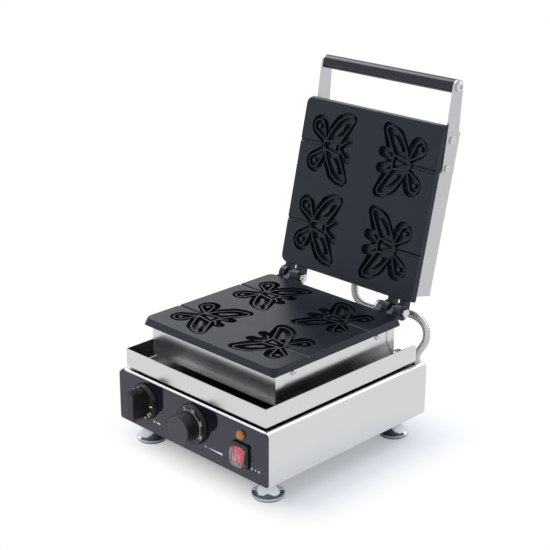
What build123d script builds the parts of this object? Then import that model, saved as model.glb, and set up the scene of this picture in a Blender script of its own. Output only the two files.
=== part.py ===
from build123d import *
import os
from math import cos, radians, sin, tan

# Waffle stick maker: a control casing on four feet, a drip tray, a fixed lower cooking plate
# on its pan, and a hinged lid of the same make. Millimetres, +Z up, the controls face -Y.
# The lid is drawn closed and then swung open about its hinge, which is how it stands at rest.

os.makedirs("parts", exist_ok=True)

# Casing
casing_width = 250.0
casing_depth = 269.5
casing_height = 65.0
sheet = 1.2
casing_bend = 6.0
casing_lip = 6.0
casing_lip_bend = 3.0
lip_relief = 0.5
panel_thickness = 1.5
panel_drop = 1.8
base_flange = 12.0

# Feet
foot_height = 28.3
foot_radius = 18.6
foot_neck_radius = 10.4
foot_flare_height = 11.4
foot_rim = 2.8
foot_pad_height = 1.8
foot_pad_radius = 17.2
foot_stud_radius = 4.0
foot_nut_height = 5.0
foot_nut_flats = 13.0
foot_side_inset = 26.0
foot_front = 26.5
foot_rear = 242.4

# Drip tray, open at the back, on short spacers over the casing
tray_side_gap = 7.8
tray_front = 4.6
tray_depth = 253.9
tray_wall_height = 23.6
tray_lift = 2.0
tray_sheet = 1.0
tray_bend = 2.5
tray_end_round = 7.0
tray_wire_hole = 9.0
sleeve_wall = 2.0
spacer_flats = 14.0
spacer_x = 84.0
spacer_front = 66.0
spacer_rear = 203.0
pan_bolt_radius = 2.5
pan_bolt_head_flats = 8.0
pan_bolt_head_height = 2.6
pan_nut_flats = 8.0
pan_nut_height = 4.0

# Folded pans under and over the cooking plates
pan_width = 204.0
pan_depth = 200.0
pan_sheet = 1.0
pan_tab = 13.0
pan_tab_sheet = 0.8
pan_tab_straight = 17.0
lower_pan_front = 34.5
pan_screw_inset = 37.7
pan_screw_spacing = 141.4
pan_screw_drop = 6.2
lower_pan_height = 37.65
pan_lift = 11.7
lid_pan_front = 33.0
lid_pan_height = 34.65
lug_width = 12.0
lug_thickness = 8.0
lug_height = 12.0
lid_lug_height = 22.0
lug_gap = 0.1

# Cast cooking plates
plate_width = 217.0
plate_front = 25.6
plate_depth = 213.4
plate_thickness = 9.85
plate_corner = 9.0
plate_edge = 1.0
plate_gap = 0.5

# Cavities: a winged figure, four in each plate, heading along +x. Its outlines and its ridges
# are drawn tightly round circles, each x, y, radius, and one wing of each pair is listed.
cavity_x = 54.6
cavity_spacing = 101.6
cavity_depth = 6.2
ridge_height = 3.9
island_height = 4.3
ridge_width = 1.8
body_outline = [(-10.0, 0.0, 6.3), (10.5, 0.0, 10.5)]
wing_outlines = [
    [(26.0, 38.2, 7.5), (11.0, 30.5, 12.0), (12.0, 13.0, 10.5), (3.0, 19.0, 12.0)],
    [(-23.5, 22.5, 13.6), (-11.0, 7.0, 6.9)],
    [(-6.0, 8.0, 5.0), (0.0, 8.0, 5.0)],
    [(17.0, 7.0, 6.5), (28.4, 9.8, 6.3)],
]
body_ridge = [(10.4, 6.9, 2.3), (10.4, -6.9, 2.3), (-12.4, 3.0, 2.8), (-12.4, -3.0, 2.8)]
wing_ridges = [
    [(24.0, 36.2, 5.5), (13.0, 29.5, 9.0), (9.4, 8.0, 2.4), (-6.6, 13.6, 2.4), (-8.6, 7.0, 2.4)],
    [(-26.3, 22.2, 8.9), (-13.6, 8.0, 2.4)],
]
feeler_ridge = [(12.5, 1.5), (22.8, 9.4), (21.8, 10.8), (11.5, 2.9)]
body_island = [(6.6, 3.4), (6.6, -3.4), (-6.2, 0.0)]
fore_island = [(17.2, 31.8), (12.0, 28.6), (2.0, 18.4), (0.6, 14.4), (4.0, 13.4), (12.6, 21.8)]
hind_island = (-25.6, 21.8)
hind_island_radius = 2.7
stick_width = 7.2
stick_depth = 2.0
stick_start = 17.0

# Hinge: two groups of ears on two bolts
hinge_drop = 0.1
hinge_back = 13.5
lid_open_angle = 102.93
lid_ear_radius = 9.9
lower_ear_radius = 6.5
ear_gap = 0.5
left_ears_start = -98.0
left_ear_widths = (9.0, 9.0, 11.0)
right_ears_start = 64.0
right_ear_widths = (9.0, 9.0, 8.0, 9.0)
hinge_bolt_radius = 3.0
hinge_fit = 0.05
hinge_flats = 10.0
hinge_head_height = 4.0
hinge_nut_height = 4.7
hinge_thread_end = 1.5
stop_gap = 0.3
stop_height = 6.0

# Handle: a moulded bar between two flat arms
handle_radius = 8.5
handle_reach = 45.1
handle_rise = 20.1
arm_sheet = 2.5
arm_length = 57.4
arm_height = 22.7
arm_rise = 8.0
arm_knee = 9.0
arm_corner = 3.5
arm_screw_front = 17.6
arm_screw_rear = 51.1
arm_screw_rise = 26.1
rod_radius = 3.0
rod_end = 12.0

# Knobs, timer and thermostat
control_z = 36.6
timer_side_inset = 46.5
thermostat_x = 5.0
shaft_radius = 3.0
shaft_fit = 0.05
shaft_depth = 14.0
bush_radius = 4.8
knob_gap = 0.8
skirt_thickness = 5.5
skirt_taper = 14.0
timer_skirt_radius = 22.3
thermostat_skirt_radius = 24.6
knob_bore_depth = 12.0
grip_radius = 17.0
grip_length = 17.0
grip_chamfer = 0.8
bar_length = 36.0
bar_width = 13.0
bar_height = 16.8
bar_draft = 4.0
timer_box = 44.0
timer_box_depth = 38.0
thermostat_body_radius = 21.0
thermostat_body_depth = 30.0

# Lamp and rocker switch
lamp_z = 50.9
lamp_radius = 5.6
lamp_stem_radius = 4.9
lamp_stand = 4.6
lamp_dome = 2.0
lamp_body_radius = 5.6
lamp_body_length = 24.0
switch_side_inset = 41.3
switch_z = 26.5
bezel_width = 25.4
bezel_height = 28.8
bezel_stand = 3.6
bezel_round = 2.0
switch_body_width = 20.0
switch_body_height = 24.0
switch_body_depth = 24.0
cover_width = 18.8
cover_height = 21.2
cover_stand = 10.0
cover_wall = 0.8
cover_round = 2.5
rocker_width = 15.4
rocker_radius = 10.2
rocker_pivot = 1.0
rocker_front = 7.4
rocker_back = 3.0
rocker_notch = 2.0
rocker_swing = 14.0
rocker_gap = 0.4

# Heaters, insulation, sensor and wiring block
element_radius = 3.3
element_span = 150.0
element_length = 150.0
element_corner = 16.0
element_tail = 22.0
insulation_thickness = 12.0
insulation_margin = 12.0
bulb_radius = 3.0
bulb_length = 70.0
terminal_length = 46.0
terminal_width = 18.0
terminal_height = 16.0

# Glands, and the metal hose from the casing to the lid
hose_radius = 4.8
hose_gland_radius = 5.4
hose_gland_height = 2.2
hose_side_inset = 12.0
hose_y = 264.0
lid_gland_x = -2.0
lid_gland_rise = 17.4
lid_gland_length = 9.0
lid_gland_flats = 15.0
mains_gland_side_inset = 63.0
mains_gland_z = 49.7
mains_gland_flats = 19.0
mains_gland_length = 26.0
mains_flange = 6.0
mains_nose_radius = 6.0
mains_bore = 3.6

# Screws and vents
screw_head_radius = 3.4
screw_head_height = 2.0
screw_shank_radius = 1.6
screw_length = 7.0
socket_flats = 2.5
arm_screw_radius = 4.4
handle_screw_radius = 6.0
handle_screw_height = 3.2
vent_length = 34.0
vent_width = 4.0
vent_pitch = 9.0
vent_count = 5
rear_screw_inset = 10.0

# Places across the casing, set in from its sides
casing_side = casing_width / 2
tray_width = casing_width - 2 * tray_side_gap
foot_x = casing_side - foot_side_inset
timer_x = timer_side_inset - casing_side
switch_x = casing_side - switch_side_inset
hose_x = casing_side - hose_side_inset
mains_gland_x = casing_side - mains_gland_side_inset

# Levels above the counter
casing_top = foot_height + casing_height
tray_bottom = casing_top + tray_lift
tray_floor = tray_bottom + tray_sheet
pan_bottom = tray_floor + pan_lift
plate_bottom = pan_bottom + lower_pan_height
plate_face = plate_bottom + plate_thickness
lid_face = plate_face + plate_gap
lid_back = lid_face + plate_thickness
lid_pan_top = lid_back + lid_pan_height

# Depths: y = 0 is halfway between the knob fronts and the back of the open lid
knob_front = knob_gap + skirt_thickness + grip_length
hinge_depth = plate_front + plate_depth + hinge_back
hinge_z = lid_face - hinge_drop
swing = radians(lid_open_angle)
lid_reach = hinge_depth - lid_pan_front
open_back = hinge_depth - lid_reach * cos(swing) + (lid_pan_top - hinge_z) * sin(swing)
front_y = -(open_back - knob_front) / 2
wrap_front = front_y + panel_thickness
inner_front = wrap_front + sheet
rear_y = front_y + casing_depth
plate_middle = front_y + plate_front + plate_depth / 2
plate_rear = front_y + plate_front + plate_depth
lower_pan_middle = front_y + lower_pan_front + pan_depth / 2
lid_pan_middle = front_y + lid_pan_front + pan_depth / 2
hinge_y = front_y + hinge_depth
hinge_axis = Axis((0, hinge_y, hinge_z), (1, 0, 0))
control_level = foot_height + control_z
lamp_level = foot_height + lamp_z
switch_level = foot_height + switch_z
pan_side = pan_width / 2
lug_side = pan_side - pan_tab_sheet - pan_sheet - lug_gap
arm_outside = pan_side + arm_sheet


def swung_open(piece):
    """A lid piece, drawn closed, as it stands with the lid open."""
    return piece.rotate(hinge_axis, -lid_open_angle)


def write(piece, name):
    piece.label = name
    export_step(piece, f"parts/{name}.step")


def blob(circles, inset=0.0, mode=Mode.ADD):
    """The outline drawn tightly round some circles, each x, y, radius, or the same set in."""
    rings = [Edge.make_circle(radius - inset, Plane((x, y, 0))) for x, y, radius in circles]
    make_hull(rings, mode=mode)


def both_sides(*pairs):
    """Each x, y pair and its mirror image in x."""
    return [(side * x, y) for x, y in pairs for side in (-1, 1)]


def posts(radius, bottom, height, spots):
    """Round posts standing on one level."""
    with BuildPart() as group:
        with BuildSketch(Plane.XY.offset(bottom)):
            with Locations(*spots):
                Circle(radius)
        extrude(amount=height)
    return group.part


def hexagons(flats, bottom, height, bore, spots):
    """Hexagon nuts or spacers standing on one level, with a plain bore the size of their bolt."""
    with BuildPart() as group:
        with BuildSketch(Plane.XY.offset(bottom)):
            with Locations(*spots):
                RegularPolygon(flats / 2, 6, major_radius=False)
                Circle(bore, mode=Mode.SUBTRACT)
        extrude(amount=height)
    return group.part


def side_screws(face_x, head_radius, spots):
    """Socket-head screws on both sides, their heads on the faces at plus and minus face_x."""
    with BuildPart() as group:
        with BuildSketch(Plane.YZ.offset(face_x)):
            with Locations(*spots):
                Circle(head_radius)
        extrude(amount=screw_head_height)
        with BuildSketch(Plane.YZ.offset(face_x)):
            with Locations(*spots):
                Circle(screw_shank_radius)
        extrude(amount=-screw_length)
        with BuildSketch(Plane.YZ.offset(face_x + screw_head_height)):
            with Locations(*spots):
                RegularPolygon(socket_flats / 2, 6, major_radius=False)
        extrude(amount=-screw_head_height / 2, mode=Mode.SUBTRACT)
        mirror(about=Plane.YZ)
    return group.part


def side_holes(spots):
    """The holes that the side screws pass through, as one tool across the whole width."""
    with BuildPart() as tool:
        with BuildSketch(Plane.YZ.offset(-casing_width / 2)):
            with Locations(*spots):
                Circle(screw_shank_radius)
        extrude(amount=casing_width)
    return tool.part


# Casing: one stainless sheet wrapped over the top and down both sides
casing_inside = casing_depth - panel_thickness - sheet
lip_side = casing_side - casing_bend - lip_relief
foot_spots = both_sides((foot_x, front_y + foot_front), (foot_x, front_y + foot_rear))
spacer_spots = both_sides((spacer_x, front_y + spacer_front), (spacer_x, front_y + spacer_rear))
with BuildPart() as casing_shell:
    with BuildSketch(Plane.XZ.offset(-wrap_front)) as casing_profile:
        with Locations((0, foot_height)):
            Rectangle(casing_width, casing_height, align=(Align.CENTER, Align.MIN))
        fillet(casing_profile.vertices().group_by(Axis.Y)[-1], casing_bend)
    extrude(amount=-casing_inside)
    open_faces = casing_shell.faces().filter_by(Axis.Y) + casing_shell.faces().sort_by(Axis.Z)[:1]
    offset(amount=-sheet, openings=open_faces)
    with BuildSketch(Plane.YZ.offset(-lip_side - lip_relief)):
        with Locations((wrap_front, casing_top)):
            Rectangle(casing_lip_bend, casing_lip_bend, align=(Align.MIN, Align.MAX))
    extrude(amount=2 * (lip_side + lip_relief), mode=Mode.SUBTRACT)
    with BuildSketch(Plane.YZ.offset(-lip_side)):
        with Locations((wrap_front + casing_lip_bend, casing_top - casing_lip_bend)):
            Circle(casing_lip_bend)
            Circle(casing_lip_bend - sheet, mode=Mode.SUBTRACT)
            Rectangle(casing_lip, casing_lip * 2, align=(Align.MIN, Align.CENTER), mode=Mode.SUBTRACT)
            Rectangle(casing_lip * 2, casing_lip, align=(Align.CENTER, Align.MAX), mode=Mode.SUBTRACT)
        with Locations((wrap_front, casing_top - casing_lip_bend)):
            Rectangle(sheet, casing_lip - casing_lip_bend, align=(Align.MIN, Align.MAX))
    extrude(amount=2 * lip_side)
    with BuildSketch(Plane.XY.offset(casing_top)):
        with Locations(*spacer_spots):
            Circle(pan_bolt_radius)
        with Locations((0, lower_pan_middle)):
            Circle(tray_wire_hole)
        with Locations((hose_x, front_y + hose_y)):
            Circle(hose_radius - 1)
    extrude(amount=-sheet, mode=Mode.SUBTRACT)
write(casing_shell.part, "casing_shell")


def end_plate(y, thickness, height):
    """A plate with the casing's outline, from y backwards, as the start of both end panels."""
    with BuildPart() as plate:
        with BuildSketch(Plane.XZ.offset(-y)) as profile:
            with Locations((0, foot_height)):
                Rectangle(casing_width, height, align=(Align.CENTER, Align.MIN))
            fillet(profile.vertices().group_by(Axis.Y)[-1], casing_bend)
        extrude(amount=-thickness)
    return plate.part


# The glossy control panel and the sheet behind it that carries the controls
with BuildPart() as control_openings:
    with BuildSketch(Plane.XZ.offset(-front_y)):
        with Locations((timer_x, control_level), (thermostat_x, control_level)):
            Circle(bush_radius)
        with Locations((switch_x, lamp_level)):
            Circle(lamp_stem_radius)
        with Locations((switch_x, switch_level)):
            Rectangle(switch_body_width, switch_body_height)
    extrude(amount=-panel_thickness - sheet)

with BuildPart() as control_panel:
    add(end_plate(front_y, panel_thickness, casing_height - panel_drop))
    fillet(control_panel.edges().filter_by(Axis.Y).group_by(Axis.Z)[0], casing_bend / 2)
    add(control_openings.part, mode=Mode.SUBTRACT)
write(control_panel.part, "control_panel")

inner_width = casing_width - 2 * sheet
with BuildPart() as front_sheet:
    with BuildSketch(Plane.XZ.offset(-wrap_front)):
        with Locations((0, foot_height + sheet)):
            Rectangle(inner_width, casing_height - sheet - casing_lip, align=(Align.CENTER, Align.MIN))
    extrude(amount=-sheet)
    add(control_openings.part, mode=Mode.SUBTRACT)
write(front_sheet.part, "front_sheet")

# Base plate: a shallow folded tray that closes the casing from below
with BuildPart() as base_plate:
    with BuildSketch(Plane.XY.offset(foot_height)):
        with Locations((0, wrap_front)):
            Rectangle(inner_width, casing_inside, align=(Align.CENTER, Align.MIN))
    extrude(amount=base_flange)
    with BuildSketch(Plane.XY.offset(foot_height + sheet)):
        with Locations((0, wrap_front)):
            Rectangle(inner_width - 2 * sheet, casing_inside, align=(Align.CENTER, Align.MIN))
    extrude(amount=base_flange, mode=Mode.SUBTRACT)
    with BuildSketch(Plane.XY.offset(foot_height + sheet)):
        with Locations((0, wrap_front)):
            Rectangle(inner_width, sheet, align=(Align.CENTER, Align.MIN))
    extrude(amount=base_flange, mode=Mode.SUBTRACT)
    with BuildSketch(Plane.XY.offset(foot_height)):
        with Locations(*foot_spots):
            Circle(foot_stud_radius)
        with Locations((0, lower_pan_middle)):
            with GridLocations(vent_length, vent_pitch, 1, vent_count):
                SlotOverall(2 * vent_length, vent_width)
    extrude(amount=sheet, mode=Mode.SUBTRACT)
write(base_plate.part, "base_plate")

# Rear panel with cooling slots and the hole for the mains gland
rear_screw_spots = both_sides(
    (casing_width / 2 - rear_screw_inset, foot_height + rear_screw_inset),
    (casing_width / 2 - rear_screw_inset, casing_top - rear_screw_inset),
)
with BuildPart() as rear_panel:
    add(end_plate(rear_y - sheet, sheet, casing_height))
    with BuildSketch(Plane.XZ.offset(-rear_y)):
        with Locations((-mains_gland_x, control_level)):
            with GridLocations(vent_length, vent_pitch, 1, vent_count):
                SlotOverall(vent_length * 1.5, vent_width)
        with Locations((mains_gland_x, foot_height + mains_gland_z)):
            Circle(mains_nose_radius)
        with Locations(*rear_screw_spots):
            Circle(screw_shank_radius)
    extrude(amount=sheet, mode=Mode.SUBTRACT)
write(rear_panel.part, "rear_panel")

with BuildPart() as rear_screws:
    with BuildSketch(Plane.XZ.offset(-rear_y)):
        with Locations(*rear_screw_spots):
            Circle(screw_head_radius)
    extrude(amount=-screw_head_height)
    with BuildSketch(Plane.XZ.offset(-rear_y)):
        with Locations(*rear_screw_spots):
            Circle(screw_shank_radius)
    extrude(amount=screw_length)
write(rear_screws.part, "rear_screws")

# Feet: a flared cup on a rubber pad, screwed to the base by a stud and nut
with BuildPart() as foot_cup:
    with BuildSketch(Plane.XZ):
        with BuildLine():
            bore_low = (foot_stud_radius, foot_pad_height)
            bore_high = (foot_stud_radius, foot_height)
            neck_high = (foot_neck_radius, foot_height)
            neck_low = (foot_neck_radius, foot_pad_height + foot_rim + foot_flare_height)
            rim_high = (foot_radius, foot_pad_height + foot_rim)
            Polyline(neck_low, neck_high, bore_high, bore_low, (foot_radius, foot_pad_height), rim_high)
            TangentArc(neck_low, rim_high, tangent=(0.1, -1))
        make_face()
    revolve(axis=Axis.Z)
with BuildPart() as foot_cups:
    with Locations(*[(x, y, 0) for x, y in foot_spots]):
        add(foot_cup.part)
write(foot_cups.part, "foot_cups")
write(posts(foot_pad_radius, 0, foot_pad_height, foot_spots), "foot_pads")
stud_height = foot_height + sheet + foot_nut_height - foot_pad_height
write(posts(foot_stud_radius, foot_pad_height, stud_height, foot_spots), "foot_studs")
write(
    hexagons(foot_nut_flats, foot_height + sheet, foot_nut_height, foot_stud_radius, foot_spots),
    "foot_nuts",
)

# Drip tray: floor, front and two side walls folded from one sheet
with BuildPart() as drip_tray:
    with BuildSketch(Plane.XY.offset(tray_bottom)):
        with Locations((0, front_y + tray_front)):
            Rectangle(tray_width, tray_depth, align=(Align.CENTER, Align.MIN))
    extrude(amount=tray_wall_height)
    low_edges = drip_tray.faces().sort_by(Axis.Z)[0].edges()
    front_corners = drip_tray.edges().filter_by(Axis.Z).group_by(Axis.Y)[0]
    fillet(low_edges.filter_by(Axis.Y) + low_edges.sort_by(Axis.Y)[:1] + front_corners, tray_bend)
    tray_openings = drip_tray.faces().sort_by(Axis.Z)[-1:] + drip_tray.faces().sort_by(Axis.Y)[-1:]
    offset(amount=-tray_sheet, openings=tray_openings)
    wall_ends = drip_tray.edges().filter_by(Axis.X).group_by(Axis.Y)[-1].sort_by(Axis.Z)[-2:]
    fillet(wall_ends, tray_end_round)
    with BuildSketch(Plane.XY.offset(tray_bottom)):
        with Locations(*spacer_spots):
            Circle(pan_bolt_radius)
        with Locations((0, lower_pan_middle)):
            Circle(tray_wire_hole)
    extrude(amount=tray_sheet, mode=Mode.SUBTRACT)
write(drip_tray.part, "drip_tray")

# Spacers, posts and the bolts that clamp pan, tray and casing together
tray_spacers = hexagons(spacer_flats, casing_top, tray_lift, pan_bolt_radius, spacer_spots)
write(tray_spacers, "tray_spacers")
pan_posts = hexagons(spacer_flats, tray_floor, pan_lift, pan_bolt_radius, spacer_spots)
write(pan_posts, "pan_posts")
bolt_bottom = casing_top - sheet - pan_nut_height
bolt_top = pan_bottom + pan_sheet
with BuildPart() as pan_bolts:
    add(posts(pan_bolt_radius, bolt_bottom, bolt_top - bolt_bottom, spacer_spots))
    with BuildSketch(Plane.XY.offset(bolt_top)):
        with Locations(*spacer_spots):
            RegularPolygon(pan_bolt_head_flats / 2, 6, major_radius=False)
    extrude(amount=pan_bolt_head_height)
write(pan_bolts.part, "pan_bolts")
write(
    hexagons(pan_nut_flats, bolt_bottom, pan_nut_height, pan_bolt_radius, spacer_spots),
    "pan_nuts",
)
grommet_height = pan_bottom - casing_top + sheet
with BuildPart() as wire_sleeve:
    with BuildSketch(Plane.XY.offset(casing_top - sheet)):
        with Locations((0, lower_pan_middle)):
            Circle(tray_wire_hole)
            Circle(tray_wire_hole - sleeve_wall, mode=Mode.SUBTRACT)
    extrude(amount=grommet_height)
write(wire_sleeve.part, "wire_sleeve")


def folded_pan(height):
    """A pan folded from sheet, open at the top, its end walls lapped onto the sides as tabs.
    Its front is at y = 0 and its floor at z = 0."""
    body_width = pan_width - 2 * pan_tab_sheet
    with BuildPart() as pan:
        with BuildSketch():
            Rectangle(body_width, pan_depth, align=(Align.CENTER, Align.MIN))
        extrude(amount=height)
        offset(amount=-pan_sheet, openings=pan.faces().sort_by(Axis.Z)[-1])
        for corner, inward in ((0, 1), (pan_depth, -1)):
            with BuildSketch(Plane.YZ.offset(body_width / 2)):
                with BuildLine():
                    Polyline(
                        (corner, 0),
                        (corner, height),
                        (corner + inward * pan_tab, height),
                        (corner + inward * pan_tab, height - pan_tab_straight),
                        (corner + inward * pan_sheet, 0),
                        close=True,
                    )
                make_face()
            extrude(amount=pan_tab_sheet)
        mirror(about=Plane.YZ)
    return pan.part


# Lower pan, bolted to the posts
pan_screw_y = front_y + plate_front + pan_screw_inset
pan_screw_level = plate_bottom - pan_screw_drop
pan_screw_spots = [(pan_screw_y, pan_screw_level), (pan_screw_y + pan_screw_spacing, pan_screw_level)]
with BuildPart() as lower_pan:
    with Locations((0, front_y + lower_pan_front, pan_bottom)):
        add(folded_pan(lower_pan_height))
    add(side_holes(pan_screw_spots), mode=Mode.SUBTRACT)
    with BuildSketch(Plane.XY.offset(pan_bottom)):
        with Locations(*spacer_spots):
            Circle(pan_bolt_radius)
        with Locations((0, lower_pan_middle)):
            Circle(tray_wire_hole - sleeve_wall)
    extrude(amount=pan_sheet, mode=Mode.SUBTRACT)
write(lower_pan.part, "lower_pan")
write(side_screws(pan_side - pan_tab_sheet, screw_head_radius, pan_screw_spots), "pan_screws")


def mirrored(side, spots):
    """Circles or corners with their y on the given side."""
    return [(x, side * y, *radius) for x, y, *radius in spots]


def ridges():
    """The thin ridges: one round the wings, one round the body and two for the feelers."""
    pairs = [mirrored(side, ridge) for ridge in wing_ridges for side in (-1, 1)]
    with BuildSketch() as lines:
        for pair in pairs:
            blob(pair)
        for pair in pairs:
            blob(pair, ridge_width, Mode.SUBTRACT)
        blob(body_ridge)
        blob(body_ridge, ridge_width, Mode.SUBTRACT)
        for side in (-1, 1):
            with BuildLine():
                Polyline(*mirrored(side, feeler_ridge), close=True)
            make_face()
    return lines.sketch


def islands():
    """The flat-topped islands inside the ridges."""
    with BuildSketch() as tops:
        with BuildLine():
            Polyline(*body_island, close=True)
        make_face()
        for side in (-1, 1):
            with BuildLine():
                Polyline(*mirrored(side, fore_island), close=True)
            make_face()
            with Locations(*mirrored(side, [hind_island])):
                RegularPolygon(hind_island_radius, 8)
    return tops.sketch


# The mould of one cavity: what the casting leaves out of the plate
with BuildPart() as cavity:
    with BuildSketch():
        blob(body_outline)
        for side in (-1, 1):
            for outline in wing_outlines:
                blob(mirrored(side, outline))
    extrude(amount=-cavity_depth)
    with BuildSketch(Plane.XY.offset(-cavity_depth)):
        add(ridges())
    extrude(amount=ridge_height, mode=Mode.SUBTRACT)
    with BuildSketch(Plane.XY.offset(-cavity_depth)):
        add(islands())
    extrude(amount=island_height, mode=Mode.SUBTRACT)


def cooking_plate():
    """A cast plate with its face up at z = 0: four cavities, each with a groove for its stick."""
    with BuildPart() as plate:
        with BuildSketch(Plane.XY.offset(-plate_thickness)):
            with Locations((0, plate_middle)):
                RectangleRounded(plate_width, plate_depth, plate_corner)
        extrude(amount=plate_thickness)
        chamfer(plate.faces().filter_by(Axis.Z).edges(), plate_edge)
        for side, turn in ((-1, 0), (1, 180)):
            for row in (-1, 1):
                spot = (side * cavity_x, plate_middle + row * cavity_spacing / 2, 0)
                with Locations(Location(spot, (0, 0, turn))):
                    add(cavity.part, mode=Mode.SUBTRACT)
        groove_radius = (stick_width**2 / 4 + stick_depth**2) / (2 * stick_depth)
        groove_level = groove_radius - stick_depth
        groove_spots = [(plate_middle + row * cavity_spacing / 2, groove_level) for row in (-1, 1)]
        groove_start = cavity_x + stick_start
        for side in (-1, 1):
            with BuildSketch(Plane.YZ.offset(side * groove_start)):
                with Locations(*groove_spots):
                    Circle(groove_radius)
            extrude(amount=side * plate_width / 2, mode=Mode.SUBTRACT)
    return plate.part


def ear_spans(start, widths):
    """The x span of each ear in a group, from its first face, with a gap between ears."""
    spans = []
    for width in widths:
        spans.append((start, width))
        start += width + ear_gap
    return spans


left_ears = ear_spans(left_ears_start, left_ear_widths)
right_ears = ear_spans(right_ears_start, right_ear_widths)
lid_ears = left_ears[0::2] + right_ears[1::2]
lower_ears = left_ears[1::2] + right_ears[0::2]


def side_lugs(side_x, spots, bottom, height):
    """Lugs on a plate's back, inside the pan's walls, that the side screws go into."""
    with BuildPart() as lugs:
        with BuildSketch(Plane.XY.offset(bottom)):
            for y, level in spots:
                with Locations((side_x, y)):
                    Rectangle(lug_thickness, lug_width, align=(Align.MAX, Align.CENTER))
        extrude(amount=height)
        mirror(about=Plane.YZ)
        add(side_holes(spots), mode=Mode.SUBTRACT)
    return lugs.part


# Lower cooking plate with its hinge ears and screw lugs
bolt_bore = hinge_bolt_radius + hinge_fit
with BuildPart() as lower_plate:
    with Locations((0, 0, plate_face)):
        add(cooking_plate())
    add(side_lugs(lug_side, pan_screw_spots, plate_bottom - lug_height, lug_height))
    for ear_x, ear_width in lower_ears:
        with BuildSketch(Plane.YZ.offset(ear_x)):
            with Locations((hinge_y, hinge_z)):
                Circle(lower_ear_radius)
            with BuildLine():
                Polyline(
                    (plate_rear - 2, plate_bottom + plate_edge),
                    (plate_rear - 2, plate_face - plate_edge),
                    (plate_rear + 1, plate_face - plate_edge),
                    (hinge_y - lower_ear_radius * 0.8, hinge_z + lower_ear_radius * 0.6),
                    (hinge_y, hinge_z),
                    (hinge_y - lower_ear_radius * 0.25, hinge_z - lower_ear_radius * 0.96),
                    close=True,
                )
            make_face()
            with Locations((hinge_y, hinge_z)):
                Circle(bolt_bore, mode=Mode.SUBTRACT)
        extrude(amount=ear_width)
write(lower_plate.part, "lower_plate")

# Upper cooking plate: the same casting face down, with ears that carry the stop
arm_screw_spots = [
    (front_y + plate_front + arm_screw_front, lid_face + arm_screw_rise),
    (front_y + plate_front + arm_screw_rear, lid_face + arm_screw_rise),
]
with BuildPart() as upper_plate:
    with Locations((0, 0, lid_face)):
        add(mirror(cooking_plate(), about=Plane.XY, mode=Mode.PRIVATE))
    add(side_lugs(lug_side, arm_screw_spots, lid_back, lid_lug_height))
    for ear_x, ear_width in lid_ears:
        with BuildSketch(Plane.YZ.offset(ear_x)):
            with Locations((hinge_y, hinge_z)):
                Circle(lid_ear_radius)
                Rectangle(
                    hinge_back - stop_gap,
                    stop_height,
                    rotation=lid_open_angle,
                    align=(Align.MAX, Align.MAX),
                )
            with BuildLine():
                Polyline(
                    (plate_rear - 2, lid_face),
                    (plate_rear - 2, lid_back - plate_edge),
                    (plate_rear + 1, lid_back - plate_edge / 4),
                    (hinge_y, hinge_z + lid_ear_radius),
                    (hinge_y, hinge_z),
                    close=True,
                )
            make_face()
            with Locations((hinge_y, hinge_z)):
                Circle(bolt_bore, mode=Mode.SUBTRACT)
        extrude(amount=ear_width)
write(swung_open(upper_plate.part), "upper_plate")


def hinge_bolt(head_face, thread_end):
    """A bolt along x: its head outside head_face, its plain end at thread_end."""
    outward = 1 if head_face > thread_end else -1
    with BuildPart() as bolt:
        with BuildSketch(Plane.YZ.offset(head_face)):
            with Locations((hinge_y, hinge_z)):
                RegularPolygon(hinge_flats / 2, 6, major_radius=False)
        extrude(amount=outward * hinge_head_height)
        with BuildSketch(Plane.YZ.offset(head_face)):
            with Locations((hinge_y, hinge_z)):
                Circle(hinge_bolt_radius)
        extrude(amount=thread_end - head_face)
    return bolt.part


def hinge_nut(face, outward):
    with BuildPart() as nut:
        with BuildSketch(Plane.YZ.offset(face)):
            with Locations((hinge_y, hinge_z)):
                RegularPolygon(hinge_flats / 2, 6, major_radius=False)
                Circle(hinge_bolt_radius, mode=Mode.SUBTRACT)
        extrude(amount=outward * hinge_nut_height)
    return nut.part


# Hinge bolts, heads outwards, and their nuts on the inner side of each group of ears
left_inner = sum(left_ears[-1])
right_outer = sum(right_ears[-1])
left_nut_face = left_inner + ear_gap
with BuildPart() as hinge_bolts:
    add(hinge_bolt(left_ears_start - ear_gap, left_nut_face + hinge_nut_height + hinge_thread_end))
    add(hinge_bolt(right_outer + ear_gap, right_ears_start - hinge_nut_height - hinge_thread_end))
write(hinge_bolts.part, "hinge_bolts")
with BuildPart() as hinge_nuts:
    add(hinge_nut(left_nut_face, 1))
    add(hinge_nut(right_ears_start, -1))
write(hinge_nuts.part, "hinge_nuts")

# Upper pan: the same folded pan upside down on the back of the lid's plate
with BuildPart() as upper_pan:
    with Locations((0, front_y + lid_pan_front, lid_pan_top)):
        add(mirror(folded_pan(lid_pan_height), about=Plane.XY, mode=Mode.PRIVATE))
    add(side_holes(arm_screw_spots), mode=Mode.SUBTRACT)
    with BuildSketch(Plane.XZ.offset(-front_y - lid_pan_front - pan_depth)):
        with Locations((lid_gland_x, lid_back + lid_gland_rise)):
            Circle(hose_radius - 1)
    extrude(amount=pan_sheet, mode=Mode.SUBTRACT)
write(swung_open(upper_pan.part), "upper_pan")

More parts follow.
